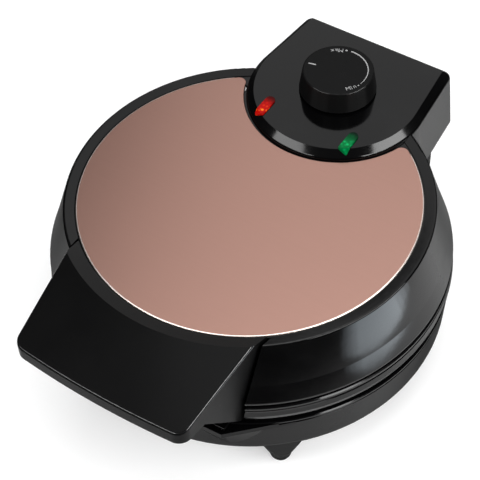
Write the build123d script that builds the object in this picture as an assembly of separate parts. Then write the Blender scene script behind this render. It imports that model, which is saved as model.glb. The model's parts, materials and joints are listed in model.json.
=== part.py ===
"""Flower waffle maker: a hinged cooker that bakes five heart waffles joined as a flower.

Millimetres, +Z up. The origin is on the table, under the middle of the machine.
-Y is the front, where the handle is, and +Y the back, where the hinge is.
"""
import math
import os

from build123d import *

# Heights of the round body, each from the one below it
foot_height = 19.0            # table to the underside of the base
base_height = 23.4            # underside of the base to the top of its wall
base_trim_height = 2.4
parting_gap = 4.8             # base trim to the lip of the lid
lid_trim_height = 8.6
waist_height = 2.8            # edge that curls in above the lid trim
lower_facet_height = 10.4
cone_height = 22.4
disc_recess = 0.8             # the metal disc lies this far below the ring round it
pod_rise = 4.5                # flat top of the control pod above the disc

# Radii of the round body, each from the one outside it
body_radius = 106.1           # lip of the lid, the widest part of the round body
lip_radius = body_radius
waist_radius = body_radius - 0.5
lid_edge_radius = waist_radius - 1.8
crease_radius = body_radius - 4.2
ring_radius = crease_radius - 7.3
disc_gap = 1.0                # groove between the disc and the ring
disc_radius = ring_radius - 5.6 - disc_gap
base_trim_radius = body_radius - 0.7
base_wall_radius = base_trim_radius - 0.2
base_foot_radius = base_wall_radius - 1.2
base_curve = 4.6              # rounding at the underside of the base
base_edge = 0.5               # small bevel at the top of the base wall
waist_rounding = 2.0
ring_rounding = 1.2
ring_slope = 1.2              # how far the ring falls towards the disc

# Walls and clearances
shell_wall = 2.4
disc_thickness = 0.8
seat_gap = 0.15               # between pieces that sit inside one another
moving_gap = 0.5              # between the lid and the base
running_gap = 0.05            # radial play of a pin or shaft

# Control pod
pod_centre_y = disc_radius - 1.0
pod_radius = 0.56 * disc_radius
pod_back_y = body_radius + 26.4
pod_back_half_width = pod_radius - 3.8
pod_bevel = 4.0
pod_corner = 4.5
pod_shoulder = 3.0            # rounding between the bevel and the cheeks
pod_skirt_drop = 31.0         # lower edge of the side cheeks below the disc
pod_skirt_flare = 3.2         # how much wider the cheeks are at their lower edge
pod_wall_drop = 9.0           # lower edge of the back wall below the disc
pod_shelf = 12.0              # width of the deck that carries the pod
bite_gap = 1.2                # between the disc and the front of the pod
bite_corner = 4.0

# Hinge
hinge_y = body_radius + 11.4
hinge_drop = 22.0             # hinge axis below the disc
hinge_tower_half_width = pod_back_half_width - 4.5
hinge_tower_radius = 10.0
pin_radius = 3.0
pin_length = 13.9
pin_reach = 3.9               # part of the pin that stands in the cheek of the pod
pin_boss_radius = 6.5
hinge_tower_corner = 2.5
cable_slot_length = 16.0
cable_slot_width = 8.0
cable_slot_depth = 4.5        # below the round top of the tower

# Handle on the lid
handle_root_y = 0.565 * body_radius
handle_root_half_width = 0.5325 * body_radius
handle_tip_y = body_radius + 25.4
handle_tip_half_width = handle_root_half_width - 7.1
handle_bow = 2.5              # how far the front edge bulges in the middle
handle_corner = 7.0
handle_edge_rounding = 1.5    # along the front and sides of its top
handle_ridge_radius = ring_radius + 2.6
handle_ridge_rise = 3.8
handle_band_rise = 0.6        # inner edge of the sloping band above the disc
handle_tip_drop = 10.0
handle_tip_thickness = 7.6
handle_knee_y = body_radius + 9.9         # where the underside starts to slope down to the lid
handle_heel_y = body_radius - 14.8
handle_heel_drop = 1.9        # below the lip of the lid
handle_shelf_rise = 2.8       # step in the back of the handle, above the lid trim
handle_wall = 2.6
handle_slot = 1.6             # groove between the handle and the lid
handle_cover_thickness = 3.0
handle_rib_count = 3
handle_rib_pitch = 24.0
handle_rib_thickness = 1.8
handle_screw_x = 0.34 * body_radius
handle_screw_y = handle_tip_y - 7.5
handle_bolt_angle = 20.0
handle_bolt_drop = 14.0

# Ledge and block on the front of the base
ledge_drop = 1.2              # top of the ledge below the top of the base trim
ledge_reach = body_radius - 3.5
ledge_half_width = 0.4525 * body_radius
ledge_thickness = 3.0
ledge_overhang = 1.2
front_block_half_width = ledge_half_width + 0.5
front_block_reach = ledge_reach - 2.1
front_block_bow = 1.5

# Trim rings that hold the plates
trim_step = 1.2               # lip of the lid above the seat of the upper plate
trim_web = 2.6
spigot_wall = 2.4
spigot_height = 2.6
groove_depth = 1.0
groove_width = 0.6
groove_flare = 0.45            # of each side of the groove
bead_inset = 0.5              # bead behind the lip
bead_bevel = 0.6
lip_slope = 0.4

# Knob and thermostat
knob_top_radius = 19.0
knob_foot_radius = 20.8
knob_gap = 1.5
knob_height = 12.0
knob_wall = 2.4
knob_rounding = 0.8
knob_hub_radius = 5.5
knob_rib_count = 6
knob_rib_thickness = 1.6
spindle_radius = 3.0
spindle_flat = 1.2            # depth of the flat on the shaft
spindle_grip = 7.5            # length of shaft inside the knob
bush_radius = 4.4
bush_rise = 3.1
nut_size = 13.0               # across the flats
nut_height = 2.4
thermostat_length = 30.0
thermostat_width = 26.0
thermostat_height = 16.0
bracket_length = 36.0
bracket_thickness = 1.2
blade_width = 6.0
blade_thickness = 0.8
blade_length = 7.0

# Lamps
lens_x = 0.52 * pod_radius
lens_y = pod_centre_y - 31.6
lens_length = 14.0
lens_width = 5.2
lens_corner = 0.8             # at the front end, which is cut square
lens_rise = 0.9
lens_depth = 1.4
lamp_radius = 2.2
lamp_length = 12.0
lamp_y = lens_y + 2.1
lamp_rib_pitch = 6.4
lamp_rib_thickness = 1.6
lamp_rib_length = 7.0
lamp_window_width = 3.0
lamp_window_length = 8.0

# Cooking plates
plate_flange_radius = body_radius - 9.3
plate_radius = plate_flange_radius - 2.4
plate_sheet = 3.0
plate_wall = 2.8
plate_gap = 0.4               # between the two plates when the lid is shut
plate_skirt_depth = 8.0
heart_count = 5
heart_tip = 0.095 * plate_radius          # distance of each heart's tip from the middle
heart_lobe_centre = 0.657 * plate_radius
heart_lobe_offset = 0.18 * plate_radius
heart_lobe_radius = 0.2225 * plate_radius
heart_depth = 10.0
heart_draft = 10.0
stud_pitch = 10.4
stud_foot = 7.2
stud_top = 4.8
stud_height = 6.6
gutter_radius = plate_radius - 4.0
gutter_width = 2.6
gutter_depth = 1.4
post_circle_radius = plate_radius - 14.4
post_radius = 4.2
post_depth = 20.0             # from the face of the plate to the end of its posts
element_radius = 0.593 * plate_radius
element_tube_radius = 3.3
element_arc = 312.0
element_bend = 9.0
element_tail = 14.0
element_pin_radius = 1.2
element_pin_length = 7.0
element_seat_width = 11.0
reflector_radius = plate_radius - 8.4
reflector_thickness = 0.6
reflector_rim = 4.0
reflector_bend = 1.5
fuse_radius = 2.0
fuse_length = 11.0
fuse_y = 0.4 * plate_radius
fuse_clip_width = 6.0
fuse_clip_foot = 5.0

# Feet, bottom cover and small parts
foot_circle_radius = base_foot_radius - 9.0
foot_angle = 41.5             # of each foot from the front or the back
foot_boss_flare = 0.38        # growth in radius for each mm of height
foot_boss_inset = 0.3         # front of the boss behind the wall of the base
foot_boss_rise = 1.0          # boss above the floor of the base
foot_neck_radius = 5.8
foot_neck_height = 3.5
foot_pad_radius = 5.6
foot_stem_radius = 2.0
foot_stem_length = 6.0
foot_pad_bevel = 0.8
cover_radius = 0.654 * base_foot_radius
cover_thickness = 2.0
cover_ledge_width = 7.0
cover_screw_count = 4
vent_count = 18
vent_inner_radius = cover_radius - 38.0
vent_outer_radius = cover_radius - 14.0
vent_width = 3.0
screw_radius = 1.5
screw_head_radius = 3.0
screw_head_height = 2.0
screw_grip = 8.0              # length of a plate screw inside its post
boss_radius = 4.2
terminal_length = 30.0
terminal_width = 12.0
terminal_height = 11.0
terminal_y = hinge_y - 10.5
terminal_way_radius = 2.0
terminal_way_pitch = 9.0
gland_reach = hinge_y + 16.5
gland_z = foot_height + 12.0
gland_radius = 6.5
gland_collar_radius = 9.0
gland_collar_thickness = 2.0
gland_rounding = 0.6
cord_bore_radius = 3.6

# Levels that follow from the sizes above
base_wall_top = foot_height + base_height
base_top = base_wall_top + base_trim_height
lid_bottom = base_top + parting_gap
trim_top = lid_bottom + lid_trim_height
waist_z = trim_top + waist_height
crease_z = waist_z + lower_facet_height
ring_top = crease_z + cone_height
disc_top = ring_top - disc_recess
deck_top = disc_top - disc_thickness
deck_bottom = deck_top - shell_wall
pod_top = disc_top + pod_rise
pod_skirt_z = disc_top - pod_skirt_drop
knob_bottom = pod_top + knob_gap
knob_top = knob_bottom + knob_height
hinge_z = disc_top - hinge_drop
hinge_front_y = hinge_y - hinge_tower_radius
hinge_back_y = hinge_y + hinge_tower_radius
cheek_face_x = hinge_tower_half_width + moving_gap
lower_plate_z = base_top + (parting_gap - trim_step - plate_gap) / 2
upper_plate_z = lower_plate_z + plate_gap
flange_thickness = lower_plate_z - base_top
reflector_depth = post_depth + seat_gap + reflector_thickness
floor_z = foot_height + shell_wall
foot_stem_top = foot_neck_height + foot_stem_length + 1.0      # end of the hole for the stem
ledge_z = base_top - ledge_drop
handle_shelf_z = trim_top + handle_shelf_rise
handle_heel_z = lid_bottom - handle_heel_drop
handle_back_radius = disc_radius + disc_gap + 2 * seat_gap
handle_tip_z = disc_top - handle_tip_drop
handle_ridge_z = disc_top + handle_ridge_rise
plate_clear_radius = plate_flange_radius + moving_gap
far = 2 * lip_radius          # reaches outside the machine on every side


def turned(*points):
    """Turn a closed outline about Z. A point is (radius, height) or (radius, height, rounding)."""
    outline = make_face(Polyline(*[point[:2] for point in points], close=True))
    for point in points:
        if len(point) == 3:
            corner = outline.vertices().sort_by_distance(point[:2])[0]
            outline = fillet(corner, point[2])
    return revolve(Plane.XZ * outline, Axis.Z)


def cylinder(radius, low, high):
    return Pos(0, 0, low) * extrude(Circle(radius), high - low)


def block(low, high):
    """A box between two opposite corners."""
    low, high = Vector(*low), Vector(*high)
    return Pos(*((low + high) / 2)) * Box(*(high - low))


def across(outline_points, half_width):
    """A prism along X from a closed outline of (y, z) points."""
    outline = make_face(Polyline(*outline_points, close=True))
    return extrude(Plane.YZ * outline, half_width, both=True)


def along_x(radius, low, high):
    """A cylinder along X on the hinge axis."""
    return Pos(low, hinge_y, hinge_z) * Rot(0, 90, 0) * extrude(Circle(radius), high - low)


def round_the_middle(count, radius, start=0.0):
    """Places evenly spaced on a circle, each facing outward."""
    step = 360 / count
    return [Rot(0, 0, start + step * i) * Pos(radius, 0, 0) for i in range(count)]


post_places = round_the_middle(heart_count, post_circle_radius, 90 + 180 / heart_count)
cover_screw_places = round_the_middle(cover_screw_count, cover_radius - cover_ledge_width / 2, 45)
pod_screw_places = [
    Pos(0, pod_centre_y, 0) * Rot(0, 0, angle) * Pos(pod_radius - pod_shelf / 2, 0, 0)
    for angle in (-150, -90, -30)
]
foot_places = {
    name: Rot(0, 0, angle) * Pos(foot_circle_radius, 0, 0)
    for name, angle in (
        ("front_left", -90 - foot_angle), ("front_right", -90 + foot_angle),
        ("rear_left", 90 + foot_angle), ("rear_right", 90 - foot_angle))
}


def screw(length):
    """A pan-head screw that points up from the underside of what it holds."""
    head = Pos(0, 0, -screw_head_height) * Cylinder(
        screw_head_radius, screw_head_height, align=(Align.CENTER, Align.CENTER, Align.MIN))
    head = chamfer(head.edges().group_by(Axis.Z)[0], screw_head_height / 3)
    return head + extrude(Circle(screw_radius), length)


def drilled(solid, places, radius, low, high):
    """The solid with a hole at each place."""
    for place in places:
        solid -= place * cylinder(radius, low, high)
    return solid


# Control pod

def pod_outline(grow=0.0, flare=0.0):
    """Plan of the pod: round in front, with sides that draw in to a straight back."""
    radius = pod_radius + grow + flare
    half_width = pod_back_half_width + grow + flare
    depth = pod_back_y + grow - pod_centre_y
    corner_angle = math.atan2(depth, half_width)
    turn = corner_angle - math.acos(radius / math.hypot(half_width, depth))
    touch = (radius * math.cos(turn), radius * math.sin(turn))
    front = CenterArc((0, 0), radius, 180 - math.degrees(turn), 180 + 2 * math.degrees(turn))
    back = Polyline(touch, (half_width, depth), (-half_width, depth), (-touch[0], touch[1]))
    outline = make_face([front, *back.edges()])
    corners = outline.vertices().group_by(Axis.Y)[-1]
    return Pos(0, pod_centre_y, 0) * fillet(corners, max(pod_corner + grow, shell_wall / 4))


def pod_form(inset=0.0):
    """The pod filled in, drawn in evenly by the inset: a bevelled top over flared cheeks."""
    turn = inset * math.tan(math.radians(22.5))
    foot = Pos(0, 0, pod_skirt_z) * pod_outline(-inset, pod_skirt_flare)
    shoulder = Pos(0, 0, pod_top - pod_bevel - turn) * pod_outline(-inset)
    top = Pos(0, 0, pod_top - inset) * pod_outline(-pod_bevel - turn)
    return loft([foot, shoulder], ruled=True) + loft([shoulder, top], ruled=True)


def lens_slot(side, grow=0.0):
    """An upright prism with the plan of a lens."""
    length, width = lens_length + 2 * grow, lens_width + 2 * grow
    plan = SlotOverall(length, width, rotation=90) + Pos(0, -length / 4) * RectangleRounded(
        width, length / 2, lens_corner + grow)
    return Pos(side * lens_x, lens_y, deck_top) * extrude(plan, 2 * pod_rise)


def rounded_pod():
    """The pod's outside, with a soft shoulder under the bevel."""
    form = pod_form()
    shoulder = form.edges().filter_by_position(Axis.Z, pod_top - pod_bevel, pod_top - pod_bevel)
    return fillet(shoulder, pod_shoulder)


def make_control_pod():
    inside_top = pod_top - shell_wall
    pod = rounded_pod() - pod_form(shell_wall)
    # The back wall stops above the hinge, so that it swings clear of the tower
    pod -= block((-cheek_face_x - 1, pod_centre_y, 0), (cheek_face_x + 1, far, disc_top - pod_wall_drop))
    for side in (-1, 1):
        ends = sorted((side * cheek_face_x, side * far))
        pod += along_x(pin_boss_radius, *ends) & pod_form(shell_wall / 2)
    for place in pod_screw_places:
        pod += place * cylinder(boss_radius, deck_top, inside_top)
    for side in (-1, 1):
        for offset in (-lamp_rib_pitch / 2, lamp_rib_pitch / 2):
            y = lamp_y + offset
            pod += block(
                (side * lens_x - lamp_rib_length / 2, y - lamp_rib_thickness / 2, inside_top - 2 * lamp_radius),
                (side * lens_x + lamp_rib_length / 2, y + lamp_rib_thickness / 2, inside_top))
        pod -= lamp_space(side, lamp_radius + running_gap)
        pod -= lens_slot(side, seat_gap) - pod_form(lens_depth + seat_gap)
        pod -= Pos(side * lens_x, lamp_y, inside_top) * Box(
            lamp_window_width, lamp_window_length, shell_wall * 2)
    for side in (-1, 1):
        ends = sorted((side * (cheek_face_x - 1), side * (hinge_tower_half_width + pin_reach + seat_gap)))
        pod -= along_x(pin_radius + running_gap, *ends)
    pod = drilled(pod, pod_screw_places, screw_radius + running_gap, 0, pod_top - shell_wall / 2)
    pod = drilled(pod, [Pos(0, pod_centre_y, 0)], bush_radius + seat_gap, 0, far)
    return pod - lid_outside(seat_gap)


def make_lens(side):
    """A lens that lies on the flat top and bends down over the bevel of the pod."""
    return (lens_slot(side) & pod_form(-lens_rise)) - pod_form(lens_depth)


def lamp_space(side, radius):
    centre_z = pod_top - shell_wall - lamp_radius - running_gap
    return Pos(side * lens_x, lamp_y, centre_z) * Rot(90, 0, 0) * Cylinder(radius, lamp_length)


def make_lamp(side):
    lamp = lamp_space(side, lamp_radius)
    return fillet(lamp.edges(), lamp_radius * 0.9)


# Lid

def lid_outside(grow=0.0):
    """The round lid filled in, without the pocket for the handle."""
    seat_radius = disc_radius + disc_gap - grow
    return turned(
        (0, trim_top - grow), (lid_edge_radius + grow, trim_top - grow),
        (waist_radius + grow, waist_z, waist_rounding), (crease_radius + grow, crease_z),
        (ring_radius + grow, ring_top + grow, ring_rounding), (seat_radius, ring_top - ring_slope + grow),
        (seat_radius, deck_top + grow), (0, deck_top + grow))


def lid_inside():
    return turned(
        (0, trim_top), (lid_edge_radius - shell_wall, trim_top),
        (waist_radius - shell_wall, waist_z), (crease_radius - shell_wall, crease_z),
        (ring_radius - shell_wall, deck_bottom), (0, deck_bottom))


def handle_pocket(inner_radius, low):
    """The space in the front of the lid that the handle fills, outside a given radius."""
    pocket = Pos(0, 0, low) * extrude(handle_plan(-handle_slot), far)
    return pocket - cylinder(inner_radius, low, far)


def make_lid_shell():
    apron_radius = disc_radius + disc_gap - shell_wall
    apron = Pos(0, 0, handle_shelf_z + seat_gap) * extrude(
        handle_plan(-handle_slot - shell_wall), deck_top - handle_shelf_z - seat_gap)
    apron -= cylinder(apron_radius, 0, far)
    shell = lid_outside() - lid_inside()
    shell += apron & lid_outside()
    shell -= handle_pocket(disc_radius + disc_gap, 0)
    # Window under the pod, for the thermostat and the wiring
    shell -= Pos(0, 0, crease_z) * extrude(pod_outline(-pod_shelf), far)
    boss_z = upper_plate_z + reflector_depth
    for place in post_places:
        shell += place * cylinder(boss_radius + screw_head_height / 2, boss_z, deck_top)
    for side in (-1, 1):
        shell -= Pos(side * lens_x, lamp_y, deck_top) * Box(
            5 * lamp_radius, lamp_length + 2, 3 * shell_wall)
    shell = drilled(shell, post_places, screw_radius + seat_gap, 0, far)
    shell = drilled(shell, post_places, screw_head_radius + seat_gap, deck_bottom - seat_gap, far)
    shell = drilled(shell, pod_screw_places, screw_radius + seat_gap, crease_z, far)
    for place in handle_bolt_places():
        shell -= place * cylinder(screw_radius + seat_gap, -shell_wall, 2 * shell_wall)
    return shell


def make_cover_plate():
    """The thin metal disc on top, with a bite for the pod and a rolled edge."""
    bite = Pos(0, pod_centre_y) * Circle(pod_radius + bite_gap)
    outline = Circle(disc_radius) - bite
    outline = fillet(outline.vertices(), bite_corner)
    sheet = Pos(0, 0, deck_top) * extrude(outline, disc_thickness)
    return fillet(sheet.faces().sort_by(Axis.Z)[-1].edges(), disc_thickness / 2)


def make_lid_trim():
    """The ring under the lid: a bead, a groove and a lip, with a seat for the upper plate."""
    seat_z = upper_plate_z + flange_thickness
    seat_radius = plate_radius + moving_gap
    web_radius = plate_flange_radius + trim_web
    spigot_radius = lid_edge_radius - shell_wall - seat_gap
    spigot_top = trim_top + spigot_height
    bead_radius = lip_radius - bead_inset
    groove_radius = bead_radius - groove_depth
    groove_z = trim_top - 0.3 * lid_trim_height
    half_groove = groove_width / 2
    trim = turned(
        (seat_radius, seat_z), (web_radius, seat_z), (web_radius + trim_step, lid_bottom),
        (lip_radius - lip_slope, lid_bottom), (lip_radius, lid_bottom + lid_trim_height / 4),
        (bead_radius, groove_z - half_groove - groove_flare), (groove_radius, groove_z - half_groove),
        (groove_radius, groove_z + half_groove), (bead_radius, groove_z + half_groove + groove_flare),
        (bead_radius, trim_top - bead_bevel), (bead_radius - bead_bevel, trim_top),
        (spigot_radius, trim_top), (spigot_radius, spigot_top), (spigot_radius - spigot_wall, spigot_top),
        (spigot_radius - spigot_wall, seat_z + trim_web), (seat_radius, seat_z + trim_web))
    return trim - handle_pocket(plate_clear_radius - seat_gap, 0)


# Handle

def handle_plan(inset=0.0):
    """Plan of the handle: sides that draw in to a bowed front with round corners."""
    tip, root = handle_tip_half_width - inset, handle_root_half_width - inset
    tip_y = handle_tip_y - inset
    front = ThreePointArc((-tip, -tip_y), (0, -tip_y - handle_bow), (tip, -tip_y))
    sides = Polyline((tip, -tip_y), (root, -handle_root_y), (-root, -handle_root_y), (-tip, -tip_y))
    outline = make_face([front, *sides.edges()])
    corners = outline.vertices().group_by(Axis.Y)[0]
    return fillet(corners, max(handle_corner - inset, shell_wall / 4))


def handle_section(half_width, corner_y, middle_y):
    """A slice of the handle's top: a bowed front edge and a straight back."""
    front = ThreePointArc((-half_width, -corner_y), (0, -middle_y), (half_width, -corner_y))
    back = Polyline((half_width, -corner_y), (half_width, -handle_root_y / 2),
                    (-half_width, -handle_root_y / 2), (-half_width, -corner_y))
    return make_face([front, *back.edges()])


def handle_top(inset):
    """Everything under the handle's top surface, which is ruled from its front edge to its ridge."""
    half_width = handle_root_half_width + 2 * handle_slot
    tip_y = handle_tip_y + handle_bow - inset
    bow_radius = (handle_tip_half_width ** 2 + handle_bow ** 2) / (2 * handle_bow)
    tip_corner_y = tip_y - bow_radius + math.sqrt(bow_radius ** 2 - half_width ** 2)
    ridge_radius = handle_ridge_radius - inset
    ridge_corner_y = math.sqrt(ridge_radius ** 2 - half_width ** 2)
    tip = Pos(0, 0, handle_tip_z - inset) * handle_section(half_width, tip_corner_y, tip_y)
    ridge = Pos(0, 0, handle_ridge_z - inset) * handle_section(half_width, ridge_corner_y, ridge_radius)
    below = extrude(handle_section(half_width, tip_corner_y, tip_y), handle_tip_z - inset)
    return loft([tip, ridge], ruled=True) + below


def handle_core(inset):
    """The round middle of the machine that the back of the handle stays clear of."""
    back_radius = handle_back_radius + inset
    clear_radius = plate_clear_radius + inset
    band_z = disc_top + handle_band_rise - inset
    return turned(
        (0, 0), (clear_radius, 0), (clear_radius, handle_shelf_z + inset),
        (back_radius, handle_shelf_z + inset), (back_radius, band_z),
        (handle_ridge_radius, handle_ridge_z - inset), (handle_ridge_radius, far), (0, far))


def handle_below(rise):
    """Everything under the handle: its underside slopes down towards the lid's lower edge."""
    tip_z = handle_tip_z - handle_tip_thickness + rise
    heel_z = handle_heel_z + rise
    return across([(-far, 0), (-far, tip_z), (-handle_knee_y, tip_z),
                   (-handle_heel_y, heel_z), (0, heel_z), (0, 0)], far)


def handle_form(inset=0.0):
    """The handle filled in and without an underside, drawn in by the inset."""
    form = handle_top(inset) & extrude(handle_plan(inset), far)
    if not inset:
        slope = form.faces().filter_by(GeomType.BSPLINE)[0]
        rim = [edge for edge in slope.edges() if edge.center().Z < handle_ridge_z - handle_edge_rounding]
        form = fillet(rim, handle_edge_rounding)
    return form - handle_core(inset)


def handle_bolt_places():
    """Where the two screws pass outward through the lid into the back of the handle."""
    return [
        Rot(0, 0, -90 + angle)
        * Pos(disc_radius + disc_gap - shell_wall - seat_gap, 0, disc_top - handle_bolt_drop)
        * Rot(0, 90, 0) for angle in (-handle_bolt_angle, handle_bolt_angle)
    ]


def make_lid_handle():
    form = handle_form()
    shell = form - handle_form(handle_wall)
    above_cover = form - handle_below(handle_cover_thickness)
    middle = (handle_rib_count - 1) / 2
    for i in range(handle_rib_count):
        x = (i - middle) * handle_rib_pitch
        shell += block((x - handle_rib_thickness / 2, -far, 0),
                       (x + handle_rib_thickness / 2, 0, far)) & above_cover
    for place in handle_screw_places():
        shell += place * cylinder(boss_radius, 0, far) & above_cover
    for place in handle_bolt_places():
        shell += place * cylinder(boss_radius, shell_wall + seat_gap, 5 * shell_wall) & form
    shell = drilled(shell, handle_screw_places(), screw_radius + running_gap, 0, handle_tip_z)
    shell = drilled(shell, handle_bolt_places(), screw_radius + running_gap, 0, 4.5 * shell_wall)
    return shell - handle_below(0)


def handle_screw_places():
    return [Pos(x, -handle_screw_y, 0) for x in (-handle_screw_x, handle_screw_x)]


def make_handle_cover():
    inset = handle_wall + seat_gap
    slab = handle_below(handle_cover_thickness) - handle_below(0)
    cover = (slab & extrude(handle_plan(inset), far)) - handle_core(inset)
    return drilled(cover, handle_screw_places(), screw_radius + seat_gap, 0, far)


# Base

def base_outside():
    return turned(
        (0, foot_height), (base_foot_radius, foot_height, base_curve),
        (base_wall_radius, base_wall_top - base_edge), (base_wall_radius - base_edge, base_wall_top),
        (0, base_wall_top))


def base_inside():
    return turned(
        (0, floor_z), (base_foot_radius - shell_wall, floor_z, base_curve / 2),
        (base_wall_radius - shell_wall - base_edge, base_wall_top), (0, base_wall_top))


def front_outline(touch_radius, corner_x, corner_y, reach):
    """Plan of the squared front of the base, from where it leaves the round body."""
    touch = touch_radius * math.sqrt(0.5)
    front = ThreePointArc((-corner_x, -corner_y), (0, -reach), (corner_x, -corner_y))
    back = Polyline((corner_x, -corner_y), (touch, -touch), (-touch, -touch), (-corner_x, -corner_y))
    return make_face([front, *back.edges()])


def base_nose():
    """The ledge under the handle, and the wall that leads from it back to the round foot."""
    corner_y = base_wall_radius * math.sqrt(2) - ledge_half_width
    outline = front_outline(base_wall_radius, ledge_half_width, corner_y, ledge_reach)
    ledge = Pos(0, 0, ledge_z - ledge_thickness) * extrude(outline, ledge_thickness)
    inner = base_wall_radius - ledge_overhang
    upper_corner_y = inner * math.sqrt(2) - ledge_half_width
    upper = front_outline(inner, ledge_half_width, upper_corner_y, ledge_reach - ledge_overhang)
    foot_corner_y = math.sqrt(base_foot_radius ** 2 - ledge_half_width ** 2)
    lower = front_outline(base_foot_radius, ledge_half_width, foot_corner_y, ledge_reach - 2 * ledge_overhang)
    wall = loft([Pos(0, 0, foot_height + base_curve) * lower,
                 Pos(0, 0, ledge_z - ledge_thickness) * upper], ruled=True)
    nose = ledge + wall - cylinder(base_wall_radius - shell_wall, base_wall_top - base_trim_height, far)
    return nose - cylinder(base_trim_radius + seat_gap, base_wall_top, far)


def hinge_tower(inset=0.0):
    """The tail behind the round body and the round-topped tower that rises from it to the hinge."""
    half_width = hinge_tower_half_width - inset
    corner = max(hinge_tower_corner - inset, inset / 4)
    low_z, back_y = foot_height + inset, hinge_back_y - inset
    tail = block((-half_width, 0, low_z), (half_width, back_y, base_wall_top - inset))
    tail = fillet(tail.edges().filter_by(Axis.Z).group_by(Axis.Y)[-1], corner)
    tower = block((-half_width, hinge_front_y + inset, low_z), (half_width, back_y, hinge_z))
    tower += along_x(hinge_tower_radius - inset, -half_width, half_width)
    sides = tower.faces().filter_by(Axis.X)
    return tail + fillet(sides.edges() - sides.edges().group_by(Axis.Z)[0], corner)


def foot_boss(place, low, low_radius, reach):
    """A cone that widens upwards to the floor of the base, cut off round the machine at `reach`."""
    height = floor_z + foot_boss_rise - low
    cone = Pos(0, 0, low) * Solid.make_cone(low_radius, low_radius + foot_boss_flare * height, height)
    return place * cone & cylinder(reach, 0, far)


def make_base_shell():
    ledge_radius = cover_radius + seat_gap
    tower_wall_x = hinge_tower_half_width - shell_wall
    reflector_z = lower_plate_z - reflector_depth
    shell = base_outside() + hinge_tower() + base_nose()
    shell -= base_inside()
    shell -= hinge_tower(shell_wall)
    # Hollow tapered bosses take the rubber feet
    for place in foot_places.values():
        shell += foot_boss(place, foot_neck_height, foot_neck_radius, base_foot_radius - foot_boss_inset)
        shell -= foot_boss(place, foot_stem_top + shell_wall, foot_stem_radius + shell_wall,
                           base_foot_radius - base_curve - shell_wall)
    for place in post_places:
        shell += place * cylinder(boss_radius, foot_height, reflector_z)
    # Opening and seat for the bottom cover
    shell -= cylinder(ledge_radius, foot_height, floor_z)
    shell += cylinder(ledge_radius + shell_wall, floor_z, floor_z + shell_wall) - cylinder(
        cover_radius - cover_ledge_width, floor_z, floor_z + shell_wall)
    for side in (-1, 1):
        ends = sorted((side * (tower_wall_x + 1), side * (hinge_tower_half_width + pin_reach - pin_length)))
        shell += along_x(pin_boss_radius, *ends)
    shell -= along_x(pin_radius + running_gap, -far, far)
    # Slot for the cable to the lid, and the hole for the cord
    slot_floor = hinge_z + hinge_tower_radius - cable_slot_depth
    shell -= block((-cable_slot_length / 2, hinge_y - cable_slot_width / 2, slot_floor),
                   (cable_slot_length / 2, hinge_y + cable_slot_width / 2, far))
    shell -= gland_place() * cylinder(gland_radius + seat_gap, -2 * shell_wall, shell_wall)
    for place in foot_places.values():
        shell -= place * cylinder(foot_stem_radius + seat_gap, 0, foot_stem_top)
    shell = drilled(shell, post_places, screw_radius + seat_gap, 0, far)
    shell = drilled(shell, cover_screw_places, screw_radius + seat_gap, 0, far)
    return drilled(shell, post_places, screw_head_radius + seat_gap, 0, foot_height)


def make_base_trim():
    """The ring that closes the base: a bead, a seat for the lower plate and a block in front."""
    spigot_radius = base_wall_radius - shell_wall - base_edge - seat_gap
    trim = turned(
        (plate_radius + moving_gap, base_wall_top), (spigot_radius - spigot_wall, base_wall_top),
        (spigot_radius - spigot_wall, base_wall_top - spigot_height),
        (spigot_radius - seat_gap, base_wall_top - spigot_height), (spigot_radius, base_wall_top),
        (base_trim_radius - groove_depth, base_wall_top),
        (base_trim_radius - groove_depth, base_wall_top + groove_width),
        (base_trim_radius, ledge_z), (base_trim_radius, base_top - base_edge),
        (base_trim_radius - base_edge, base_top), (plate_radius + moving_gap, base_top))
    half_width = front_block_half_width
    corner_y = front_block_reach - front_block_bow
    front = ThreePointArc((-half_width, -corner_y), (0, -front_block_reach), (half_width, -corner_y))
    back = Polyline((half_width, -corner_y), (half_width, 0), (-half_width, 0), (-half_width, -corner_y))
    outline = make_face([front, *back.edges()])
    top_z = handle_heel_z - moving_gap
    bar = Pos(0, 0, base_top) * extrude(outline, top_z - base_top)
    return trim + (bar - cylinder(plate_clear_radius, 0, far) - block((-far, -handle_root_y, 0), (far, 0, far)))


def make_bottom_cover():
    cover = cylinder(cover_radius, floor_z - cover_thickness, floor_z)
    vent = Pos((vent_inner_radius + vent_outer_radius) / 2, 0, 0) * SlotOverall(
        vent_outer_radius - vent_inner_radius, vent_width)
    cut = Pos(0, 0, floor_z - cover_thickness) * extrude(vent, cover_thickness)
    for place in round_the_middle(vent_count, 0):
        cover -= place * cut
    return drilled(cover, cover_screw_places, screw_radius + seat_gap, 0, far)


def gland_place():
    """On the back wall of the tail, with the place's Z axis pointing out of it."""
    return Pos(0, hinge_back_y, gland_z) * Rot(-90, 0, 0)


def make_cord_gland():
    reach = gland_reach - hinge_back_y
    gland = turned(
        (cord_bore_radius, -2 * shell_wall), (gland_radius, -2 * shell_wall), (gland_radius, 0),
        (gland_collar_radius, 0), (gland_collar_radius, gland_collar_thickness, gland_rounding),
        (gland_radius, gland_collar_thickness), (gland_radius - 1, reach, gland_rounding),
        (cord_bore_radius, reach))
    return gland_place() * gland


def make_terminal_block():
    body = block((-terminal_length / 2, terminal_y - terminal_width / 2, floor_z),
                 (terminal_length / 2, terminal_y + terminal_width / 2, floor_z + terminal_height))
    body = chamfer(body.faces().sort_by(Axis.Z)[-1].edges(), 1)
    for i in (-1, 0, 1):
        x = i * terminal_way_pitch
        z = floor_z + terminal_height / 2
        body -= Pos(x, terminal_y, z) * Rot(90, 0, 0) * Cylinder(terminal_way_radius, 2 * terminal_width)
        body -= Pos(x, terminal_y, z + terminal_height / 2) * Cylinder(terminal_way_radius, terminal_height)
    return body


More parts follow.
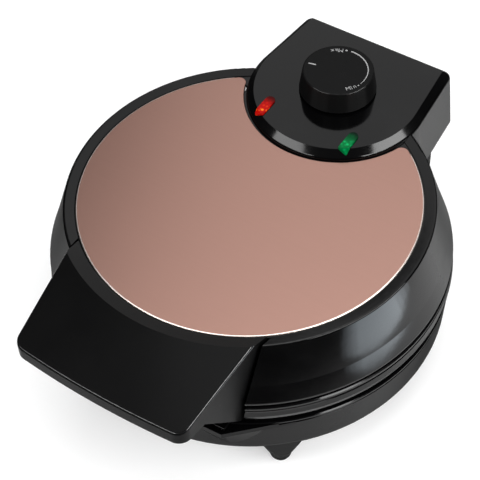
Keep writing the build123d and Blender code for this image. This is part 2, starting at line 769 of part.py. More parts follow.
def make_foot():
    top = foot_neck_height
    return turned(
        (0, 0), (foot_pad_radius - foot_pad_bevel, 0), (foot_pad_radius, 2 * foot_pad_bevel),
        (foot_pad_radius, top),
        (foot_stem_radius, top), (foot_stem_radius, top + foot_stem_length), (0, top + foot_stem_length))


# Cooking plates, drawn with the cooking face up at height 0

def heart(grow=0.0):
    """A heart that points at the middle of the plate, grown evenly."""
    to_lobe = heart_lobe_centre - heart_tip
    lobe_distance = math.hypot(to_lobe, heart_lobe_offset)
    lean = math.atan2(heart_lobe_offset, to_lobe) + math.asin(heart_lobe_radius / lobe_distance)
    radius = heart_lobe_radius + grow
    tip = heart_tip - grow / math.sin(lean)
    touch = (heart_lobe_centre - radius * math.sin(lean), heart_lobe_offset + radius * math.cos(lean))
    sides = Polygon(
        (tip, 0), (touch[0], -touch[1]), (heart_lobe_centre, -heart_lobe_offset),
        (heart_lobe_centre, heart_lobe_offset), touch, align=None)
    lobes = [Pos(heart_lobe_centre, y) * Circle(radius) for y in (-heart_lobe_offset, heart_lobe_offset)]
    return sides + lobes


def heart_cup(grow, depth):
    """A heart-shaped cup that narrows downward by the draft angle."""
    narrowing = depth * math.tan(math.radians(heart_draft))
    return loft([Pos(0, 0, -depth) * heart(grow - narrowing), heart(grow)], ruled=True)


def heart_studs():
    """The grid of studs on the floor of one heart, all of them clear of its wall."""
    bottom = -heart_depth - plate_wall / 2
    stud = loft([Pos(0, 0, bottom) * Rectangle(stud_foot, stud_foot),
                 Pos(0, 0, stud_height - heart_depth) * Rectangle(stud_top, stud_top)], ruled=True)
    floor = heart(-heart_depth * math.tan(math.radians(heart_draft)) - stud_top / 2)
    rows = int((heart_lobe_offset + heart_lobe_radius) // stud_pitch)
    columns = int((heart_lobe_centre + heart_lobe_radius) // stud_pitch)
    places = [
        (heart_lobe_centre + column * stud_pitch, row * stud_pitch)
        for column in range(-columns, columns + 1) for row in range(-rows, rows + 1)
    ]
    return [Pos(x, y, 0) * stud for x, y in places if floor.face().is_inside((x, y, 0))]


def make_plate():
    plate = turned(
        (0, 0), (plate_flange_radius, 0), (plate_flange_radius, -flange_thickness),
        (plate_radius, -flange_thickness), (plate_radius - 0.6, -plate_skirt_depth),
        (plate_radius - plate_wall, -plate_skirt_depth), (plate_radius - plate_wall, -plate_sheet),
        (0, -plate_sheet))
    back = heart_depth + plate_wall
    seat_z = -back - element_tube_radius - seat_gap
    plate += cylinder(element_radius + element_seat_width / 2, seat_z, 0) - cylinder(
        element_radius - element_seat_width / 2, seat_z, -plate_sheet)
    turns = [Rot(0, 0, 90 + 360 / heart_count * i) for i in range(heart_count)]
    cup = heart_cup(plate_wall, back)
    for turn in turns:
        plate += turn * cup
    for place in post_places:
        plate += place * cylinder(post_radius, -post_depth, -plate_sheet / 2)
    plate = drilled(plate, post_places, screw_radius + running_gap, -post_depth, -plate_sheet * 2)
    plate -= cylinder(gutter_radius + gutter_width / 2, -gutter_depth, 0) - cylinder(
        gutter_radius - gutter_width / 2, -gutter_depth, 0)
    cavity = heart_cup(0, heart_depth)
    for stud in heart_studs():
        cavity -= stud
    for turn in turns:
        plate -= turn * cavity
    return plate - make_element(element_tube_radius + seat_gap)


def element_path():
    """An open ring with two tails that turn out towards the back."""
    half_gap = (360 - element_arc) / 2
    start = 90 + half_gap
    loop = CenterArc((0, 0), element_radius, start, element_arc)
    tails = []
    for point, heading, side in ((loop @ 0, loop % 0 * -1, 1), (loop @ 1, loop % 1, -1)):
        bend = JernArc(point, heading, element_bend, side * (90 - half_gap))
        tails += [bend, Line(bend @ 1, bend @ 1 + (0, element_tail))]
    return loop, tails


def make_element(radius):
    loop, tails = element_path()
    centre_z = -heart_depth - plate_wall - element_tube_radius - seat_gap
    path = Wire([loop, *tails])
    start = Plane(path @ 0, z_dir=path % 0)
    tube = sweep(start * Circle(radius), path=path)
    for tail in (tails[1], tails[3]):
        tip = tail @ 1 + (0, element_pin_length / 2)
        tube += Pos(*tip) * Rot(90, 0, 0) * Cylinder(element_pin_radius, element_pin_length)
    return Pos(0, 0, centre_z) * tube


def make_reflector():
    """A thin pan that turns the heat back to the plate, with its rim towards the plate."""
    rim = reflector_rim
    pan = turned(
        (0, 0), (reflector_radius, 0, reflector_bend), (reflector_radius, rim),
        (reflector_radius - reflector_thickness, rim),
        (reflector_radius - reflector_thickness, reflector_thickness, reflector_bend - reflector_thickness),
        (0, reflector_thickness))
    pan = drilled(pan, post_places, screw_radius + seat_gap, 0, rim)
    return Pos(0, 0, -reflector_depth) * pan


def make_fuse():
    fuse = Rot(0, 90, 0) * Cylinder(fuse_radius, fuse_length)
    fuse = chamfer(fuse.edges(), fuse_radius / 3)
    return fuse + Rot(0, 90, 0) * Cylinder(fuse_radius / 4, fuse_length * 2)


def make_fuse_clip():
    """A strap over the fuse, with a foot on each side."""
    inner = fuse_radius + running_gap
    outer = inner + reflector_thickness
    reach = outer + fuse_clip_foot
    foot = -fuse_radius
    bridge = Circle(outer) + Pos(0, foot / 2) * Rectangle(2 * outer, -foot)
    bridge += Pos(0, foot + reflector_thickness / 2) * Rectangle(2 * reach, reflector_thickness)
    bridge -= Circle(inner) + Pos(0, foot / 2) * Rectangle(2 * inner, -foot)
    bridge &= Pos(0, outer / 2 + foot / 2) * Rectangle(2 * reach, outer - foot)
    return extrude(Plane.YZ * bridge, fuse_clip_width / 2, both=True)


# Thermostat and knob

def make_thermostat():
    top = pod_top - shell_wall
    body_top = top - bracket_thickness
    body = block((-thermostat_length / 2, -thermostat_width / 2, body_top - thermostat_height),
                 (thermostat_length / 2, thermostat_width / 2, body_top))
    body = fillet(body.edges().filter_by(Axis.Z), 2)
    body += block((-bracket_length / 2, -thermostat_width / 3, body_top),
                  (bracket_length / 2, thermostat_width / 3, top))
    body += cylinder(bush_radius, top, pod_top + bush_rise)
    body -= cylinder(spindle_radius + running_gap, body_top - thermostat_height / 2, far)
    for x in (-thermostat_length / 3, thermostat_length / 3):
        body += block((x - blade_width / 2, -blade_thickness / 2, body_top - thermostat_height - blade_length),
                      (x + blade_width / 2, blade_thickness / 2, body_top - thermostat_height))
    return Pos(0, pod_centre_y, 0) * body


def spindle_solid(grow=0.0):
    """The shaft with a flat on its upper end."""
    low = pod_top - shell_wall - bracket_thickness - thermostat_height / 2
    high = knob_bottom + spindle_grip + grow
    shaft = cylinder(spindle_radius + grow, low, high)
    flat = spindle_radius - spindle_flat + grow
    shaft -= block((-far, flat, pod_top + bush_rise), (far, far, far))
    return Pos(0, pod_centre_y, 0) * shaft


def make_knob():
    outside = turned(
        (0, knob_bottom), (knob_foot_radius, knob_bottom), (knob_top_radius, knob_top, knob_rounding),
        (0, knob_top))
    ceiling = knob_top - knob_wall
    knob = outside - turned(
        (0, knob_bottom), (knob_foot_radius - knob_wall, knob_bottom),
        (knob_top_radius - knob_wall, ceiling, 1), (0, ceiling))
    hub_bottom = pod_top + bush_rise + moving_gap
    knob += cylinder(knob_hub_radius, hub_bottom, ceiling)
    rib = block((knob_hub_radius - 1, -knob_rib_thickness / 2, hub_bottom),
                (knob_top_radius - knob_wall / 2, knob_rib_thickness / 2, ceiling))
    for place in round_the_middle(knob_rib_count, 0):
        knob += place * rib
    return Pos(0, pod_centre_y, 0) * knob - spindle_solid(running_gap)


def make_nut():
    """The nut that holds the thermostat to the pod, inside the knob."""
    nut = extrude(RegularPolygon(nut_size / 2, 6, major_radius=False), nut_height)
    nut -= extrude(Circle(bush_radius + running_gap), nut_height)
    return Pos(0, pod_centre_y, pod_top) * nut


def make_hinge_pin(side):
    inner = hinge_tower_half_width + pin_reach - pin_length
    ends = sorted((side * inner, side * (inner + pin_length)))
    pin = along_x(pin_radius, *ends)
    return chamfer(pin.edges().filter_by(GeomType.CIRCLE), 0.5)


def group(solids):
    return Compound(children=list(solids))


def lower(shape):
    return Pos(0, 0, lower_plate_z) * shape


def upper(shape):
    return Pos(0, 0, upper_plate_z) * mirror(shape, about=Plane.XY)


def make_parts():
    """Every piece by its name."""
    plate = make_plate()
    element = make_element(element_tube_radius)
    pan = make_reflector()
    fuse_z = upper_plate_z + heart_depth + plate_wall + fuse_radius
    parts = {
        "base_shell": make_base_shell(),
        "base_trim_ring": make_base_trim(),
        "base_bottom_cover": make_bottom_cover(),
        "lower_cooking_plate": lower(plate),
        "lower_heating_element": lower(element),
        "lower_reflector": lower(pan),
        "terminal_block": make_terminal_block(),
        "cord_gland": make_cord_gland(),
        "hinge_pin_left": make_hinge_pin(-1),
        "hinge_pin_right": make_hinge_pin(1),
        "lower_plate_screws": group(
            Pos(0, 0, foot_height) * place * screw(lower_plate_z - foot_height - post_depth + screw_grip)
            for place in post_places),
        "bottom_cover_screws": group(
            Pos(0, 0, floor_z - cover_thickness) * place * screw(cover_thickness + shell_wall)
            for place in cover_screw_places),
        "lid_shell": make_lid_shell(),
        "cover_plate": make_cover_plate(),
        "control_pod": make_control_pod(),
        "lid_handle": make_lid_handle(),
        "handle_cover": make_handle_cover(),
        "lid_trim_ring": make_lid_trim(),
        "upper_cooking_plate": upper(plate),
        "upper_heating_element": upper(element),
        "upper_reflector": upper(pan),
        "thermostat_body": make_thermostat(),
        "thermostat_nut": make_nut(),
        "thermal_fuse": Pos(0, fuse_y, fuse_z) * make_fuse(),
        "fuse_clip": Pos(0, fuse_y, fuse_z) * make_fuse_clip(),
        "red_lens": make_lens(-1),
        "green_lens": make_lens(1),
        "red_lamp": make_lamp(-1),
        "green_lamp": make_lamp(1),
        "upper_plate_screws": group(
            Pos(0, 0, deck_bottom) * place * Rot(180, 0, 0)
            * screw(deck_bottom - upper_plate_z - post_depth + screw_grip)
            for place in post_places),
        "pod_screws": group(
            Pos(0, 0, deck_bottom) * place * screw(shell_wall + pod_rise / 2) for place in pod_screw_places),
        "handle_screws": group(
            [place * screw(3 * shell_wall) for place in handle_bolt_places()]
            + [Pos(0, 0, handle_tip_z - handle_tip_thickness) * place * screw(handle_tip_thickness - seat_gap)
               for place in handle_screw_places()]),
        "thermostat_knob": make_knob(),
        "thermostat_spindle": spindle_solid(),
    }
    for name, place in foot_places.items():
        parts[f"foot_{name}"] = place * make_foot()
    return parts


def main():
    os.makedirs("parts", exist_ok=True)
    for name, shape in make_parts().items():
        shape.label = name
        export_step(shape, f"parts/{name}.step")


if __name__ == "__main__":
    main()
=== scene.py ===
# %% [markdown]
# # A round waffle maker, dressed for a product picture
# The solid model already gives every part its true shape and place. This lesson gives those parts
# their finishes, adds the small printed and moulded details, and sets up a studio round them.
# All lengths are metres, with Z up and the handle towards -Y.

# %% Load the model
import json
import math

import bmesh
import bpy
from mathutils import Matrix, Vector


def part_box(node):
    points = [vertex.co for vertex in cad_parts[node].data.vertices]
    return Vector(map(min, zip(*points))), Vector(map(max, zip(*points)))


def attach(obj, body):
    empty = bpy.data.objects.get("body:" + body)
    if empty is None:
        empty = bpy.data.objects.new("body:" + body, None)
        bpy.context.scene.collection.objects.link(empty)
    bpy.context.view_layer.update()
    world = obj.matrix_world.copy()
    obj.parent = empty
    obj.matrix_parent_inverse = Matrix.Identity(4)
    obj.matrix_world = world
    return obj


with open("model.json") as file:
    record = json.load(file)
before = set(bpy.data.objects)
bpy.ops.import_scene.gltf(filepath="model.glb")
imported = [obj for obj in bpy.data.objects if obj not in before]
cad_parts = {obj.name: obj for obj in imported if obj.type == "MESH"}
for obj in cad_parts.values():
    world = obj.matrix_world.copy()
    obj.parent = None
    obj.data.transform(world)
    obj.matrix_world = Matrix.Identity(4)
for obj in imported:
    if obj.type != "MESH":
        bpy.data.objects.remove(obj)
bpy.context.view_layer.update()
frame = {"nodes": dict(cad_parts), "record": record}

nodes = frame["nodes"]
mm = 0.001

# %% [markdown]
# ## The camera
# A product photographer stands to the front right and looks down steeply, with a long lens that
# keeps the circles calm. We could aim the camera with a constraint, but a matrix built from the
# three viewing directions also holds the slight roll of the camera.

# %% Camera
turn, rise, roll = math.radians(35.54), math.radians(49.79), math.radians(-2.756)
towards = Vector((math.sin(turn) * math.cos(rise), -math.cos(turn) * math.cos(rise), math.sin(rise)))
side = Vector((math.cos(turn), math.sin(turn), 0))
over = towards.cross(side)
picture_right = side * math.cos(roll) + over * math.sin(roll)
picture_up = over * math.cos(roll) - side * math.sin(roll)
camera = bpy.data.objects.new("camera", bpy.data.cameras.new("camera"))
camera.data.lens = 105.73
camera.data.sensor_width = 36
camera.data.clip_start = 0.01
camera.matrix_world = Matrix.Translation((0.2736, -0.39299, 0.62522)) @ Matrix(
    (picture_right, picture_up, towards)).transposed().to_4x4()
bpy.context.scene.collection.objects.link(camera)
bpy.context.scene.camera = camera
print("camera", round(camera.location.length, 3), "m from the table under the machine")

# %% [markdown]
# ## Shader nodes as sums
# A finish is easier to read as a sum than as a web of nodes. `Value` wraps one socket, so that
# `0.1 + 0.05 * grain` adds the Math nodes for us. `Nodes.add` makes every other kind of node.

# %% Sockets that work like numbers
class Value:
    """The output of a shader node, for use with + - and *."""

    def __init__(self, nodes, socket):
        self.nodes, self.socket = nodes, socket

    def worked(self, operation, first, second):
        return self.nodes.add("Math", {"operation": operation}, {0: first, 1: second})

    def __add__(self, other):
        return self.worked("ADD", self, other)

    def __sub__(self, other):
        return self.worked("SUBTRACT", self, other)

    def __rsub__(self, other):
        return self.worked("SUBTRACT", other, self)

    def __mul__(self, other):
        return self.worked("MULTIPLY", self, other)

    __radd__, __rmul__ = __add__, __mul__


class Nodes:
    """A node tree that gets its nodes by one call each."""

    def __init__(self, tree):
        self.tree = tree

    def add(self, kind, settings=None, inputs=None, output=0):
        node = self.tree.nodes.new("ShaderNode" + kind)
        for name, setting in (settings or {}).items():
            setattr(node, name, setting)
        for name, value in (inputs or {}).items():
            self.give(node.inputs[name], value)
        return Value(self, node.outputs[output])

    def give(self, socket, value):
        if isinstance(value, Value):
            self.tree.links.new(value.socket, socket)
        else:
            socket.default_value = value


print("helpers ready")

# %% [markdown]
# ## A few tools of the finisher
# Every finish starts from the position on the part, in metres, so that a grain keeps its real size
# on a big shell and on a small screw. Stretching that position before the noise makes brushing.

# %% Finishes
class Finish(Nodes):
    """A material with one main shader."""

    def __init__(self, name):
        self.material = bpy.data.materials.new(name)
        self.material.use_nodes = True
        super().__init__(self.material.node_tree)
        self.shader = self.tree.nodes["Principled BSDF"]
        self.place = self.add("TexCoord", output="Object")

    def noise(self, size, detail=2.0, stretch=(1, 1, 1)):
        """Soft cloudy values from 0 to 1, with lumps of this size in metres."""
        where = self.add("VectorMath", {"operation": "MULTIPLY"},
                         {0: self.place, 1: [1 / (size * s) for s in stretch]})
        return self.add("TexNoise", {}, {"Vector": where, "Scale": 1.0, "Detail": detail})

    def cells(self, size):
        """Distance from the middles of scattered cells of this size in metres."""
        where = self.add("VectorMath", {"operation": "SCALE"}, {0: self.place, "Scale": 1 / size})
        return self.add("TexVoronoi", {}, {"Vector": where, "Scale": 1.0})

    def fade(self, value, low, high, first=0.0, last=1.0):
        """First below low, last above high, and smooth between them."""
        return self.add("MapRange", {"interpolation_type": "SMOOTHSTEP"}, {
            "Value": value, "From Min": low, "From Max": high, "To Min": first, "To Max": last})

    def mixed(self, share, first, second):
        return self.add("Mix", {"data_type": "RGBA"}, {0: share, 6: first, 7: second}, output=2)

    def bumped(self, height, depth, normal=None):
        inputs = {"Height": height, "Distance": depth, "Strength": 1.0}
        if normal:
            inputs["Normal"] = normal
        return self.add("Bump", {}, inputs)

    def surface(self, **sockets):
        for name, value in sockets.items():
            self.give(self.shader.inputs[name.replace("_", " ")], value)
        return self.material


def grey(level, blue=1.0):
    return (level, level, level * blue, 1)


finishes = {}
print("finish tools ready")

# %% [markdown]
# ## Polished black plastic
# The lid, pod and base come out of a polished mould. Real mouldings are never perfect mirrors: the
# skin ripples very slightly, and handling leaves faint hazy patches. Both only change how sharp the
# reflections are, so they go to roughness and a very shallow bump. Faces that turn away from the eye
# are a little hazier, which keeps the far walls from mirroring the table too clearly. The base is
# duller than the lid.

# %% Polished plastic
def polished(name, colour, sharp, hazy, shine):
    paint = Finish(name)
    haze = paint.fade(paint.noise(0.03, 4), 0.45, 0.75)
    rubs = paint.fade(paint.noise(0.0012, 3, (9, 1, 1)), 0.66, 0.74)
    ripple = paint.noise(0.004, 1)
    specks = paint.fade(paint.cells(0.0045), 0.0, 0.045, 1.0, 0.0)
    turned_away = paint.add("LayerWeight", {}, {"Blend": 0.5}, output="Facing")
    edge_haze = paint.fade(turned_away, 0.50, 0.86)
    return paint.surface(
        Base_Color=paint.mixed(specks * 0.12 + haze * 0.06, colour, grey(0.03)),
        Roughness=sharp + hazy * haze + 0.06 * rubs + 0.15 * specks + 0.5 * edge_haze,
        Normal=paint.bumped(ripple, 0.00001), IOR=1.5, Specular_IOR_Level=shine)


finishes["gloss_black"] = polished("polished black plastic", grey(0.0009, 1.12), 0.09, 0.04, 0.25)
finishes["trim_black"] = polished("trim black plastic", grey(0.0014, 1.1), 0.08, 0.05, 0.23)
finishes["base_black"] = polished("base black plastic", grey(0.0012, 1.1), 0.20, 0.08, 0.09)
print("polished plastic:", [n for n in nodes if n.endswith(("shell", "pod", "ring"))])

# %% [markdown]
# ## Spark-textured plastic
# The handle and knob come from a mould that was etched by sparks, so that they grip and hide
# fingerprints. The grain is about a third of a millimetre. Hands rub the rounded corners until they
# shine, so a clear coat lies only where the surface turns between up and sideways. The strip that
# slopes back towards the disc keeps its etching, but its colour is painted paler, a painted sheen
# from the way it faces the light, and it takes the clear coat too.

# %% Textured plastic
def textured(name, colour, rough, grain, shine, depth, rubbed=0.0):
    paint = Finish(name)
    pits = paint.noise(grain, 3)
    drift = paint.noise(0.02, 3)
    worn = paint.fade(paint.noise(0.006, 5), 0.6, 0.8)
    normal = paint.bumped(pits, depth)
    facing = paint.add("TexCoord", output="Normal")
    up, back = (paint.add("SeparateXYZ", {}, {"Vector": facing}, output=axis) for axis in "ZY")
    corners = paint.fade(up, 0.10, 0.35) * paint.fade(up, 0.76, 0.87, 1.0, 0.0)
    # Painted sheen: the strip that slopes back towards the disc gets a paler colour because of how it
    # faces the light.
    painted_sheen_strip = paint.fade(back, 0.15, 0.30) * paint.fade(up, 0.70, 0.85)
    return paint.surface(
        Base_Color=paint.mixed(
            painted_sheen_strip, paint.mixed(0.4 * drift + 0.3 * worn, colour, grey(0.006)), grey(0.013)),
        Roughness=rough + 0.08 * drift - 0.05 * worn, Normal=normal,
        IOR=1.5, Specular_IOR_Level=shine,
        Coat_Weight=corners * rubbed + painted_sheen_strip * rubbed, Coat_Roughness=0.14)


finishes["matte_black"] = textured(
    "spark textured plastic", grey(0.0026, 1.04), 0.27, 0.00035, 0.050, 0.000010, 1.0)
finishes["knob_black"] = textured(
    "fine textured plastic", grey(0.0046, 1.02), 0.26, 0.00022, 0.06, 0.000012, 0.5)
finishes["rubber"] = textured("foot rubber", grey(0.003), 0.62, 0.0005, 0.12, 0.00004)
print("textured plastic ready")

# %% [markdown]
# ## The rose metal disc
# Thin aluminium sheet is brushed in one direction, dyed and sealed. Brushing is noise stretched a
# hundred times along X. It tilts the surface a little, which spreads reflections across the brushing,
# and it changes the roughness from line to line.

# %% Rose metal
def brushed(name, colour, deep, rough, along, depth):
    paint = Finish(name)
    stretch = [60 if axis == along else 1 for axis in "XYZ"]
    lines = paint.noise(0.00025, 2, stretch)
    broad = paint.noise(0.0016, 3, stretch)
    cloud = paint.noise(0.05, 2)
    return paint.surface(
        Base_Color=paint.mixed(0.45 * lines + 0.35 * broad + 0.2 * cloud, deep, colour),
        Roughness=rough + 0.1 * lines + 0.05 * cloud, Metallic=1.0,
        Normal=paint.bumped(lines, depth, paint.bumped(broad, depth)))


finishes["rose_metal"] = brushed(
    "brushed rose metal", (0.43, 0.248, 0.202, 1), (0.39, 0.225, 0.184, 1), 0.24, "X", 0.0000025)
finishes["zinc_steel"] = brushed("plated steel", grey(0.6), grey(0.42), 0.28, "Z", 0.000003)
finishes["bright_sheet"] = brushed("bright sheet", grey(0.78, 1.02), grey(0.62), 0.22, "Y", 0.000004)
finishes["bare_edge"] = brushed(
    "bare metal edge", (0.95, 0.86, 0.80, 1), (0.88, 0.76, 0.70, 1), 0.30, "Z", 0.000001)
finishes["brass"] = brushed(
    "turned brass", (0.72, 0.53, 0.25, 1), (0.52, 0.36, 0.15, 1), 0.26, "Y", 0.000004)
print("rose metal on", nodes["cover_plate"].name)

# %% [markdown]
# ## Inside the machine
# The cooking plates are cast aluminium under a sprayed non-stick coat: dark, a little pebbled, with
# pale flecks of the filler. The heater's sheath is steel that has been hot, so it is blotchy brown.

# %% Coating, sheath, ceramic and glass
coat = Finish("sprayed non-stick coat")
flecks = coat.fade(coat.cells(0.0011), 0.0, 0.16, 1.0, 0.0)
pebble = coat.noise(0.0009, 3)
finishes["nonstick"] = coat.surface(
    Base_Color=coat.mixed(flecks * 0.8, grey(0.018), grey(0.16)), Roughness=0.3 + 0.18 * pebble,
    Metallic=flecks * 0.6, Normal=coat.bumped(pebble, 0.00005))

sheath = Finish("heated steel sheath")
blotch = sheath.fade(sheath.noise(0.012, 4), 0.35, 0.65)
scale = sheath.noise(0.0006, 4)
finishes["element_steel"] = sheath.surface(
    Base_Color=sheath.mixed(blotch, (0.20, 0.19, 0.175, 1), (0.13, 0.095, 0.07, 1)),
    Roughness=0.42 + 0.2 * scale, Metallic=0.85, Normal=sheath.bumped(scale, 0.00002))

clay = Finish("glazed ceramic")
pores = clay.fade(clay.cells(0.0012), 0.0, 0.2, 1.0, 0.0)
finishes["ceramic"] = clay.surface(
    Base_Color=clay.mixed(
        pores * 0.5 + 0.3 * clay.noise(0.008, 3), (0.78, 0.75, 0.69, 1), (0.6, 0.55, 0.47, 1)),
    Roughness=0.35 + 0.2 * pores, Normal=clay.bumped(pores, -0.00004))

bulb = Finish("small lamp glass")
finishes["lamp_glass"] = bulb.surface(
    Base_Color=bulb.mixed(bulb.noise(0.002, 2), (0.9, 0.82, 0.7, 1), (0.7, 0.62, 0.55, 1)),
    Roughness=0.08 + 0.1 * bulb.noise(0.003, 2), Alpha=0.55)
print(len(finishes), "finishes so far")

# %% [markdown]
# ## The two lamp windows
# Each window is clear coloured plastic with small prisms inside that scatter the neon lamp behind it.
# The light is strongest over the lamp and dies away to the ends. Emission follows that distance, and
# the prisms break it into bright chips, which a Voronoi pattern does well.

# %% Lamp windows
def window(name, node, deep, bright, hot, power):
    low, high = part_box(node)
    middle = (low + high) / 2
    lens = Finish(name)
    from_lamp = lens.add("VectorMath", {"operation": "DISTANCE"}, {
        0: lens.place, 1: (middle.x, middle.y - 0.003, middle.z)}, output="Value")
    near = lens.fade(from_lamp, 0.0003, 0.0105, 1.0, 0.0)
    chips = lens.fade(lens.cells(0.0021), 0.10, 0.80, 1.0, 0.0)
    lit = near * (0.45 + 0.55 * chips)
    glow = lens.mixed(lens.fade(lit, 0.50, 0.92), bright, hot)
    # Painted light: the base colour is also painted lighter over the lamp, standing for the light of
    # the lamp behind.
    return lens.surface(
        Base_Color=lens.mixed(near * 0.25, deep, bright), Roughness=0.06 + 0.1 * lens.noise(0.002, 2),
        Emission_Color=lens.mixed(lit, (0, 0, 0, 1), glow), Emission_Strength=power,
        Normal=lens.bumped(chips, 0.00004), IOR=1.49, Specular_IOR_Level=0.06)


finishes["red_lens"] = window("red lamp window", "red_lens", (0.03, 0.0004, 0.0004, 1),
                              (0.62, 0.006, 0.003, 1), (1.0, 0.36, 0.02, 1), 1.2)
finishes["green_lens"] = window("green lamp window", "green_lens", (0.0, 0.006, 0.003, 1),
                                (0.0, 0.23, 0.055, 1), (0.01, 0.52, 0.15, 1), 1.0)

# %% [markdown]
# ## Paint the parts
# Each part names its finish in the record. The trims, knob and base differ from their neighbours,
# so a short table names those exceptions.

# %% Give each part its finish
special = {
    "lid_trim_ring": "trim_black", "base_trim_ring": "trim_black", "base_shell": "base_black",
    "thermostat_knob": "knob_black",
}
for part in frame["record"]["subparts"]:
    shown = nodes[part["node"]]
    finish = finishes[special.get(part["node"], part["material_slot"])]
    shown.data.materials.clear()
    shown.data.materials.append(finish)
print("painted", len(nodes), "parts")

# %% [markdown]
# ## The rolled rim of the disc
# The sheet is rolled over at its round edge, and the roll is where the bare metal shines. It is a thin
# bead, swept round the disc from one corner of the bite to the other. Its top is level with the
# disc, so only its outer side shows.

# %% Disc rim
disc_low, disc_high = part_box("cover_plate")
disc_radius = (disc_high.x - disc_low.x) / 2
bead = 0.6 * mm
bead_out = 0.32 * mm
bead_end, bead_steps, bead_sides = 51.5, 220, 16
rim = bmesh.new()
rings = []
for i in range(bead_steps + 1):
    turn = math.radians(180 - bead_end + (180 + 2 * bead_end) * i / bead_steps)
    ring = []
    for k in range(bead_sides):
        lean = 2 * math.pi * k / bead_sides
        reach = disc_radius + bead_out + bead * (math.cos(lean) - 1)
        ring.append(rim.verts.new((reach * math.cos(turn), reach * math.sin(turn),
                                   disc_high.z + bead * (math.sin(lean) - 1))))
    rings.append(ring)
for first, second in zip(rings, rings[1:]):
    for k in range(bead_sides):
        rim.faces.new((first[k], second[k], second[(k + 1) % bead_sides], first[(k + 1) % bead_sides]))
rim.faces.new(rings[0])
rim.faces.new(rings[-1][::-1])
bmesh.ops.recalc_face_normals(rim, faces=rim.faces)
for face in rim.faces:
    face.smooth = True
disc_rim = bpy.data.objects.new("disc_rim", bpy.data.meshes.new("disc_rim"))
rim.to_mesh(disc_rim.data)
rim.free()
disc_rim.data.materials.append(finishes["bare_edge"])
bpy.context.scene.collection.objects.link(disc_rim)
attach(disc_rim, "lid")
print("rim faces", len(disc_rim.data.polygons))

# %% [markdown]
# ## Marks on the knob
# The dial is tampo printed in pale grey: an arc that swells from cool to hot, a dot at each end, the
# two end words, and a pointer bar. A print is a layer of ink, so each mark is a thin mesh that lies
# on the knob's top face and turns with it.

# %% Ink for the dial
ink = Finish("pale dial ink")
finishes["ink"] = ink.surface(
    Base_Color=ink.mixed(ink.fade(ink.noise(0.0005, 3), 0.35, 0.7), grey(0.24), grey(0.36)),
    Roughness=0.5 + 0.2 * ink.noise(0.0004, 2))
knob_low, knob_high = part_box("thermostat_knob")
dial = Vector(((knob_low.x + knob_high.x) / 2, (knob_low.y + knob_high.y) / 2, knob_high.z))
ink_height = 0.03 * mm


def on_dial(angle, radius, lift=ink_height):
    a = math.radians(angle)
    return dial + Vector((radius * mm * math.cos(a), radius * mm * math.sin(a), lift))


def printed(name, outlines):
    """Thin ink shapes from closed rings of points on the dial."""
    mesh = bmesh.new()
    for ring in outlines:
        top = mesh.faces.new([mesh.verts.new(point) for point in ring])
        if top.normal.z < 0:
            top.normal_flip()
    mesh.faces.ensure_lookup_table()
    data = bpy.data.meshes.new(name)
    mesh.to_mesh(data)
    mesh.free()
    data.materials.append(finishes["ink"])
    mark = bpy.data.objects.new(name, data)
    bpy.context.scene.collection.objects.link(mark)
    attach(mark, "knob")
    return mark


steps = 48
hot_end, cool_end = 94.6, -11.5
arc_radius, thick_half, thin_half = 15.85, 0.45, 0.15
arc = []
for i in range(steps):
    quads = []
    for j in (i, i + 1):
        share = j / steps
        angle = hot_end + (cool_end - hot_end) * share
        half = thick_half + (thin_half - thick_half) * share
        quads += [on_dial(angle, arc_radius + half), on_dial(angle, arc_radius - half)]
    arc.append([quads[0], quads[1], quads[3], quads[2]])
printed("dial_arc", arc)
dots = []
for angle, radius, size in ((104.4, 15.6, 0.62), (-17.7, 16.0, 0.42)):
    centre = on_dial(angle, radius)
    dots.append([centre + Vector((size * mm * math.cos(t), size * mm * math.sin(t), 0))
                 for t in (2 * math.pi * k / 20 for k in range(20))])
dots.append([on_dial(-166.5 + a, r) for r, a in ((12.4, 2.0), (12.4, -2.0), (16.6, -1.4), (16.6, 1.4))])
printed("dial_dots_and_pointer", dots)
print("dial centre", [round(v, 4) for v in dial])


# %% Words of the dial
def word(text, angle, radius, size, spread):
    """A word whose letters follow the circle with their tops towards its middle."""
    step = spread / (len(text) - 1)
    for place, letter in enumerate(text):
        curve = bpy.data.curves.new("letter", "FONT")
        curve.body, curve.size, curve.align_x = letter, size * mm, "CENTER"
        curve.align_y = "CENTER"
        holder = bpy.data.objects.new("letter", curve)
        bpy.context.scene.collection.objects.link(holder)
        bpy.context.view_layer.update()
        data = bpy.data.meshes.new_from_object(holder)
        bpy.data.objects.remove(holder)
        at = angle + step * place - spread / 2
        upright = Matrix.Rotation(math.radians(at + 90), 4, "Z")
        data.transform(Matrix.Translation(on_dial(at, radius)) @ upright)
        data.materials.clear()
        data.materials.append(finishes["ink"])
        glyph = bpy.data.objects.new(f"dial_{text.lower()}_{place}", data)
        bpy.context.scene.collection.objects.link(glyph)
        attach(glyph, "knob")


word("Max", 124, 15.2, 3.9, 17)
word("Min", -32.5, 15.4, 3.6, 14)
print("two end words")
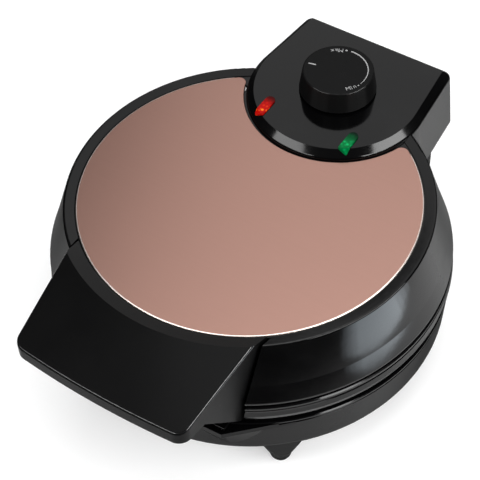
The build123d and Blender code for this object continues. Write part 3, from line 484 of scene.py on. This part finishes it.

# %% [markdown]
# ## The studio
# Black plastic shows the room more than itself, so the studio decides the picture. Two soft boxes
# stand either side of the camera, and others hang over the back and the middle. The table is painted
# pale near the machine and dark further out, a painted pool of light. What the eye sees stays pale
# for longer than what the plastic mirrors, a smaller painted pool for the reflections, so that the
# front of the lid reflects a darker room.

# %% Table and room
table = bpy.data.objects.new("table", bpy.data.meshes.new("table"))
sheet = bmesh.new()
bmesh.ops.create_grid(sheet, x_segments=40, y_segments=40, size=3.0)
sheet.to_mesh(table.data)
sheet.free()
bpy.context.scene.collection.objects.link(table)
paper = Finish("pale paper")
far = paper.add("VectorMath", {"operation": "DISTANCE"},
                {0: paper.place, 1: (-0.08, 0.10, 0.0)}, output="Value")
mirrored = paper.add("VectorMath", {"operation": "DISTANCE"},
                     {0: paper.place, 1: (0.03, 0.04, 0.0)}, output="Value")
rays = [paper.add("LightPath", {}, {}, output=name)
        for name in ("Is Camera Ray", "Is Glossy Ray", "Is Transmission Ray")]
# Painted pool of light: colour and glow are pale near the machine and dark further out, with a smaller
# painted pool for what the plastic mirrors.
dark = paper.fade(far, 0.29, 0.43) * rays[0] + paper.fade(mirrored, 0.20, 0.33) * (1.0 - rays[0])
pale = paper.mixed(dark, grey(0.88), grey(0.02))
glow = paper.mixed(dark, grey(1.32), grey(0.012))
seen = rays[0] * 0.35 + rays[1] * 0.25 + rays[2] * 0.25
light = paper.add("Emission", {}, {"Color": glow, "Strength": 1.0})
paper.surface(Base_Color=pale, Roughness=0.6 + 0.1 * paper.noise(0.002, 2))
table.data.materials.append(paper.material)
main = paper.add("MixShader", {}, {0: seen, 2: light})
mixer = main.socket.node
paper.tree.links.new(paper.shader.outputs[0], mixer.inputs[1])
paper.tree.links.new(mixer.outputs[0], paper.tree.nodes["Material Output"].inputs["Surface"])

world = bpy.data.worlds.new("studio room")
bpy.context.scene.world = world
world.use_nodes = True
room = Nodes(world.node_tree)
heading = room.add("TexCoord", output="Generated")
height = room.add("SeparateXYZ", {}, {"Vector": heading}, output="Z")
share = room.add("MapRange", {"interpolation_type": "SMOOTHSTEP"}, {
    "Value": height, "From Min": 0.05, "From Max": 0.85, "To Min": 0.0, "To Max": 1.0})
shade = room.add("Mix", {"data_type": "RGBA"}, {0: share, 6: grey(0.03), 7: grey(0.15, 1.02)}, output=2)
room.give(world.node_tree.nodes["Background"].inputs["Color"], shade)
print("table and room ready")


# %% Soft boxes
def soft_box(name, heading, height, distance, width, depth, radiance):
    """A rectangular lamp that faces the machine, as bright as a sheet of this radiance."""
    a, e = math.radians(heading), math.radians(height)
    away = Vector((math.cos(a) * math.cos(e), math.sin(a) * math.cos(e), math.sin(e)))
    lamp = bpy.data.lights.new(name, "AREA")
    lamp.shape, lamp.size, lamp.size_y = "RECTANGLE", width, depth
    lamp.energy = radiance * width * depth * math.pi
    holder = bpy.data.objects.new(name, lamp)
    holder.location = Vector((0, 0, 0.07)) + away * distance
    holder.rotation_euler = away.to_track_quat("Z", "Y").to_euler()
    holder.visible_camera = False
    bpy.context.scene.collection.objects.link(holder)


soft_box("left front soft box", -114, 36, 1.1, 0.95, 0.26, 8.9)
soft_box("right soft box", 2, 32, 1.1, 1.00, 0.28, 13.5)
soft_box("rear soft box", 99, 53, 1.2, 1.08, 0.75, 1.06)
soft_box("overhead soft box", -60, 89, 1.3, 1.0, 1.0, 3.3)
bpy.context.scene.view_settings.view_transform = "Standard"

# A low panel lights the front right of the lid. Four sheets, each longer than the last, lie one
# above another, so that its ends fade softly.
panel_width, panel_radiance, sheet_gap = 0.12, 1.38, 0.0005
for layer, length in enumerate((0.115, 0.140, 0.165, 0.190)):
    card = bpy.data.lights.new("low light panel", "AREA")
    card.shape, card.size, card.size_y = "RECTANGLE", panel_width, length
    card.color = (0.90, 1.0, 1.08)
    card.energy = panel_radiance * panel_width * length * math.pi
    panel = bpy.data.objects.new("low light panel", card)
    panel.location = (0.3105, 0.010, 0.002 + sheet_gap * layer)
    panel.rotation_euler = (math.pi, 0, math.radians(12.5))
    panel.visible_camera = False
    bpy.context.scene.collection.objects.link(panel)
print("four soft boxes and a soft-edged low panel")
